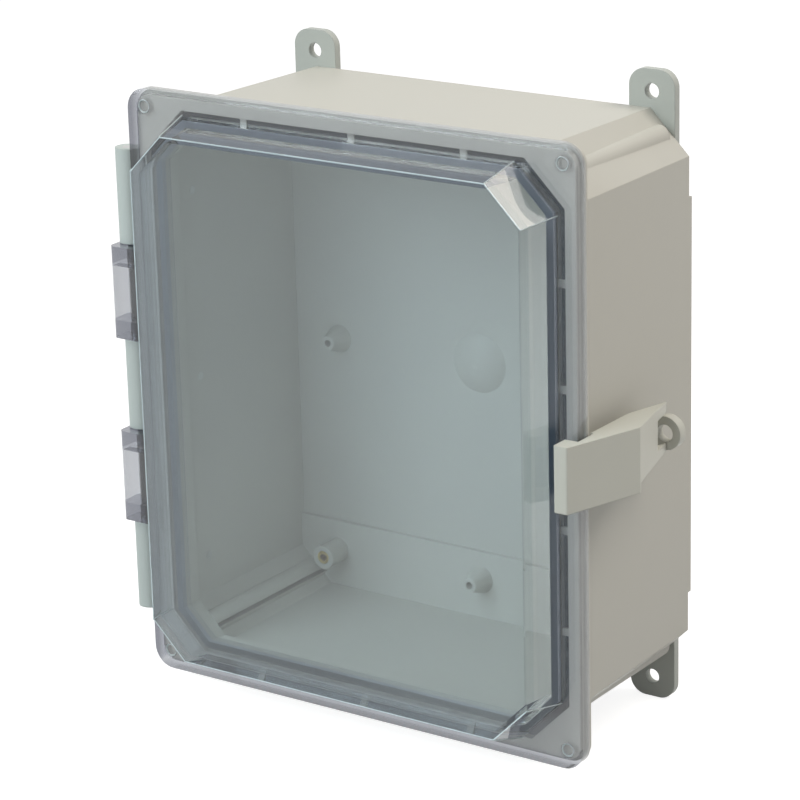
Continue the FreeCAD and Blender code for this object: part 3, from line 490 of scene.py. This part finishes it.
def clear_plastic(name):
    """Clear polycarbonate that lets the lamps through. Its zones differ in tint."""
    material, tree = new_material(name)
    where = tree.nodes.new("ShaderNodeTexCoord").outputs["Object"]
    place = tree.nodes.new("ShaderNodeSeparateXYZ")
    tree.links.new(where, place.inputs[0])
    zones = cover_zones(tree, place)

    # What the camera sees. The coat takes the faces' own normals, so a facet reflects as one.
    glass = tree.nodes.new("ShaderNodeBsdfPrincipled")
    glass.inputs["Transmission Weight"].default_value = 1.0
    glass.inputs["IOR"].default_value = CLEAR_IOR
    glass.inputs["Coat Weight"].default_value = 1.0
    glass.inputs["Coat Roughness"].default_value = COAT_ROUGHNESS
    glass.inputs["Coat IOR"].default_value = COAT_IOR
    cloud = noise(tree, where, *CLEAR_CLOUD)
    tree.links.new(cover_tint(tree, cloud, place, zones), glass.inputs["Base Color"])
    tree.links.new(spread_over(tree, cloud, NOISE_STRETCH, *CLEAR_ROUGHNESS), glass.inputs["Roughness"])
    bump = raised(tree, noise(tree, where, *CLEAR_WAVES), WAVE_STRENGTH, WAVE_HEIGHT)
    tree.links.new(soft_edges(tree, CLEAR_EDGE_ROUND), bump.inputs["Normal"])
    tree.links.new(bump.outputs[0], glass.inputs["Normal"])
    flat = tree.nodes.new("ShaderNodeNewGeometry")
    tree.links.new(flat.outputs["True Normal"], glass.inputs["Coat Normal"])

    # What shadow rays meet
    clear = tree.nodes.new("ShaderNodeBsdfTransparent")
    shade = mixed_colour(tree, zones[0], WALL_SHADE, PANE_SHADE)
    shade = mixed_colour(tree, zones[1], shade, FLANGE_SHADE)
    tree.links.new(shade, clear.inputs["Color"])
    path = tree.nodes.new("ShaderNodeLightPath")
    mix = tree.nodes.new("ShaderNodeMixShader")
    tree.links.new(path.outputs["Is Shadow Ray"], mix.inputs[0])
    tree.links.new(glass.outputs[0], mix.inputs[1])
    tree.links.new(clear.outputs[0], mix.inputs[2])
    output = show_surface(tree, mix.outputs[0])

    # The tint gets deeper with the thickness
    depth = tree.nodes.new("ShaderNodeVolumeAbsorption")
    depth.inputs["Color"].default_value = (*DEPTH_COLOUR, 1.0)
    depth.inputs["Density"].default_value = DEPTH_DENSITY
    tree.links.new(depth.outputs[0], output.inputs["Volume"])
    return material


def turned_metal(name, colour, rough):
    """Metal with fine turning marks and a little tarnish."""
    material, tree = new_material(name)
    where = tree.nodes.new("ShaderNodeTexCoord").outputs["Object"]
    cloud = noise(tree, where, *TARNISH)
    marks = noise(tree, where, *TURNING_MARKS)
    shader = tree.nodes.new("ShaderNodeBsdfPrincipled")
    shader.inputs["Metallic"].default_value = 1.0
    tree.links.new(clouded(tree, cloud, scaled(colour, TARNISH_TINT), colour), shader.inputs["Base Color"])
    tree.links.new(varied(tree, marks, rough, METAL_GLOSS), shader.inputs["Roughness"])
    bump = raised(tree, marks, MARK_STRENGTH, MARK_HEIGHT)
    tree.links.new(bump.outputs[0], shader.inputs["Normal"])
    show_surface(tree, shader.outputs[0])
    return material


def dress(material, *nodes):
    """Give CAD nodes a material."""
    for name in nodes:
        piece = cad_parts[name]
        piece.data.materials.clear()
        piece.data.materials.append(material)


def octagon(outline, inset):
    """The corners of an upright octagon, moved inwards by the inset.

    They go anticlockwise from the lower right, as seen from the front, so side 0 is the right one.
    """
    half_width, half_height, chamfer = outline
    wide = half_width - inset
    tall = half_height - inset
    cut = chamfer - CHAMFER_LOSS * inset
    short_x = wide - cut
    short_z = tall - cut
    corners = (
        (wide, -short_z), (wide, short_z), (short_x, tall), (-short_x, tall),
        (-wide, short_z), (-wide, -short_z), (-short_x, -tall), (short_x, -tall),
    )
    return [Vector(corner) for corner in corners]


def circle(x, y, z, radius):
    """Points round a circle that faces the front."""
    angles = [2 * math.pi * step / ROUND_STEPS for step in range(ROUND_STEPS)]
    return [(x + radius * math.cos(angle), y, z + radius * math.sin(angle)) for angle in angles]


def add_wall(work, low, high, closed=True):
    """Faces between two rows of points. A closed wall goes from the last points back to the first."""
    count = len(low)
    for index in range(count if closed else count - 1):
        after = (index + 1) % count
        work.faces.new((low[index], low[after], high[after], high[index]))


def finished_mesh(name, work, material):
    """An object from the faces made so far, with their normals outwards."""
    bmesh.ops.recalc_face_normals(work, faces=work.faces[:])
    mesh = bpy.data.meshes.new(name)
    work.to_mesh(mesh)
    work.free()
    mesh.materials.append(material)
    piece = bpy.data.objects.new(name, mesh)
    bpy.context.scene.collection.objects.link(piece)
    return piece


def swept(name, loops, material, closed=True):
    """A bead whose cross-section has a corner on each loop. An open one has two ends."""
    work = bmesh.new()
    rows = [[work.verts.new(point) for point in loop] for loop in loops]
    for low, high in zip(rows, rows[1:] + rows[:1]):
        add_wall(work, low, high, closed)
    if not closed:
        for end in (0, -1):
            work.faces.new([row[end] for row in rows])
    return finished_mesh(name, work, material)


def cross_point(point, along, start, distance):
    """The place on the line through a point where the distance from the start is as given."""
    return point + along * (distance - (point - start).dot(along))


def gutter_shade_strips(material):
    """Dark strips in the gutter of the rim, between its webs, that paint the shade deep in the gutter."""
    outer = octagon(BODY_OUTLINE, GUTTER_OUTER + SHADE_STRIP_CLEAR)
    inner = octagon(BODY_OUTLINE, GUTTER_INNER - SHADE_STRIP_BARE)
    half_web = WEB_WIDTH / 2 + SHADE_STRIP_CLEAR
    work = bmesh.new()
    for side in range(len(outer)):
        after = (side + 1) % len(outer)
        starts = (outer[side], inner[side])
        stops = (outer[after], inner[after])
        along = (stops[0] - starts[0]).normalized()
        # Sides with webs are level or upright, so only one coordinate of a web's place counts
        middles = [(Vector((place, place)) - starts[0]).dot(along) for place in WEBS.get(side, ())]
        ends = [starts]
        for middle in sorted(middles):
            for distance in (middle - half_web, middle + half_web):
                ends.append([cross_point(point, along, starts[0], distance) for point in starts])
        ends.append(stops)
        for low, high in zip(ends[0::2], ends[1::2]):
            ring = (low[0], high[0], high[1], low[1])
            bottom = [work.verts.new((point.x, -GUTTER_FLOOR, point.y)) for point in ring]
            top = [work.verts.new((point.x, -GUTTER_FLOOR - SHADE_STRIP_THICK, point.y)) for point in ring]
            work.faces.new(top)
            work.faces.new(bottom[::-1])
            add_wall(work, bottom, top)
    return finished_mesh("gutter_shade_strips", work, material)


def pane_edge_highlight(material):
    """A painted highlight along the moulded edge round the front of the raised pane, left out on the latch
    side.
    """
    section = (
        (PANE_SLOPE, EDGE_BEAD_SINK - PANE_FRONT),
        (PANE_SLOPE + EDGE_BEAD, EDGE_BEAD_SINK - PANE_FRONT),
        (PANE_SLOPE, EDGE_BEAD - PANE_FRONT),
    )
    loops = []
    for inset, y in section:
        corners = octagon(PANE_OUTLINE, inset)
        loops.append([(point.x, y, point.y) for point in corners[1:] + corners[:1]])
    return swept("pane_edge_highlight", loops, material, closed=False)


def corner_highlights(material):
    """Painted highlights along the eight moulded corners of the raised pane."""
    work = bmesh.new()
    for foot, top in zip(octagon(PANE_OUTLINE, 0.0), octagon(PANE_OUTLINE, PANE_SLOPE)):
        outward = foot.normalized() * CORNER_BEAD
        across = Vector((-outward.y, outward.x))
        ends = []
        for point, y in ((foot, -BEAD_FOOT), (top, -PANE_FRONT)):
            corners = (point + outward, point + across, point - outward, point - across)
            ends.append([work.verts.new((corner.x, y, corner.y)) for corner in corners])
        work.faces.new(ends[0])
        work.faces.new(ends[1][::-1])
        add_wall(work, *ends)
    return finished_mesh("corner_highlights", work, material)


def dimple_highlight(name, x, z, material):
    """A low ring on the floor of a corner dimple of the cover, which paints a highlight."""
    section = ((RING_OUTER, 0.0), (RING_MIDDLE, RING_RISE), (RING_INNER, 0.0))
    loops = [circle(x, -DIMPLE_FLOOR - rise, z, radius) for radius, rise in section]
    return swept(name, loops, material)


def foot_screw(name, x, z, material):
    """The head of a fixing screw in its seat behind a foot, with a cross recess."""
    work = bmesh.new()
    section = ((SCREW_HEAD, -SCREW_SEAT), (SCREW_HEAD, -SCREW_RIM), (SCREW_CROWN, -SCREW_TOP))
    rings = [[work.verts.new(point) for point in circle(x, y, z, radius)] for radius, y in section]
    work.faces.new(rings[0])
    for low, high in zip(rings, rings[1:]):
        add_wall(work, low, high)
    arm = ((CROSS_REACH, -CROSS_HALF), (CROSS_REACH, CROSS_HALF), (CROSS_HALF, CROSS_HALF))
    outline = []
    for quarter in range(4):
        turn = Matrix.Rotation(quarter * math.pi / 2, 2)
        outline += [turn @ Vector(point) for point in arm]
    mouth = [work.verts.new((x + point.x, -SCREW_TOP, z + point.y)) for point in outline]
    bottom = [work.verts.new((x + point.x, -SCREW_TOP - CROSS_DEPTH, z + point.y)) for point in outline]
    work.faces.new(bottom)
    add_wall(work, mouth, bottom)
    open_edges = [edge for edge in work.edges if len(edge.link_faces) == 1]
    bmesh.ops.triangle_fill(work, use_beauty=True, edges=open_edges)
    return finished_mesh(name, work, material)


add_camera()
add_lamps()
add_world()
add_floor()
bpy.context.scene.view_settings.view_transform = "Standard"

body_grey = moulded_plastic("body_grey", BODY_COLOUR)
rail_grey = moulded_plastic("rail_grey", RAIL_COLOUR)
latch_grey = moulded_plastic("latch_grey", LATCH_COLOUR, grain=LATCH_GRAIN)
foot_grey = moulded_plastic("foot_grey", FOOT_COLOUR)
clear_cover = clear_plastic("clear_cover")
seal_rubber = moulded_plastic("seal_rubber", SEAL_COLOUR, rough=SEAL_ROUGHNESS)
# Pale plastic for the painted highlights along the cover's edges and in its dimples
painted_highlight = moulded_plastic("painted_highlight", EDGE_HIGHLIGHT_COLOUR, rough=EDGE_HIGHLIGHT_ROUGHNESS)
# Material of the painted shade strips in the gutter, painted paler at the bottom
gutter_shade = moulded_plastic(
    "gutter_shade",
    GUTTER_SHADE_COLOUR,
    rough=GUTTER_SHADE_ROUGHNESS,
    grain=GUTTER_SHADE_GRAIN,
    spread=GUTTER_SHADE_SPREAD,
    pale=GUTTER_LIT_COLOUR,
)
steel = turned_metal("steel", STEEL_COLOUR, STEEL_ROUGHNESS)
brass = turned_metal("brass", BRASS_COLOUR, BRASS_ROUGHNESS)

dress(body_grey, "enclosure_body")
dress(clear_cover, "clear_cover")
dress(seal_rubber, "cover_gasket")
dress(rail_grey, "hinge_rail")
dress(latch_grey, "latch_lever", "padlock_staple")
dress(steel, "hinge_pin", "hinge_screw_top", "hinge_screw_middle", "hinge_screw_bottom")
dress(steel, "latch_pin", "staple_screw")
for corner in CORNERS:
    dress(foot_grey, f"mounting_foot_{corner}")
    dress(brass, f"panel_insert_{corner}")

# Dark strips that paint the shade in the gutter
shade_strips = gutter_shade_strips(gutter_shade)
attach(shade_strips, "enclosure")
# Painted highlights along the pane's edges and corners
edge = pane_edge_highlight(painted_highlight)
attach(edge, "cover")
highlight_beads = corner_highlights(painted_highlight)
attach(highlight_beads, "cover")
for corner, (side, level) in CORNERS.items():
    screw = foot_screw(f"foot_screw_{corner}", side * SCREW_X, level * SCREW_Z, steel)
    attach(screw, "enclosure")
    # A painted highlight ring in each corner dimple of the cover
    ring = dimple_highlight(f"dimple_highlight_{corner}", side * DIMPLE_X, level * DIMPLE_Z, painted_highlight)
    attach(ring, "cover")
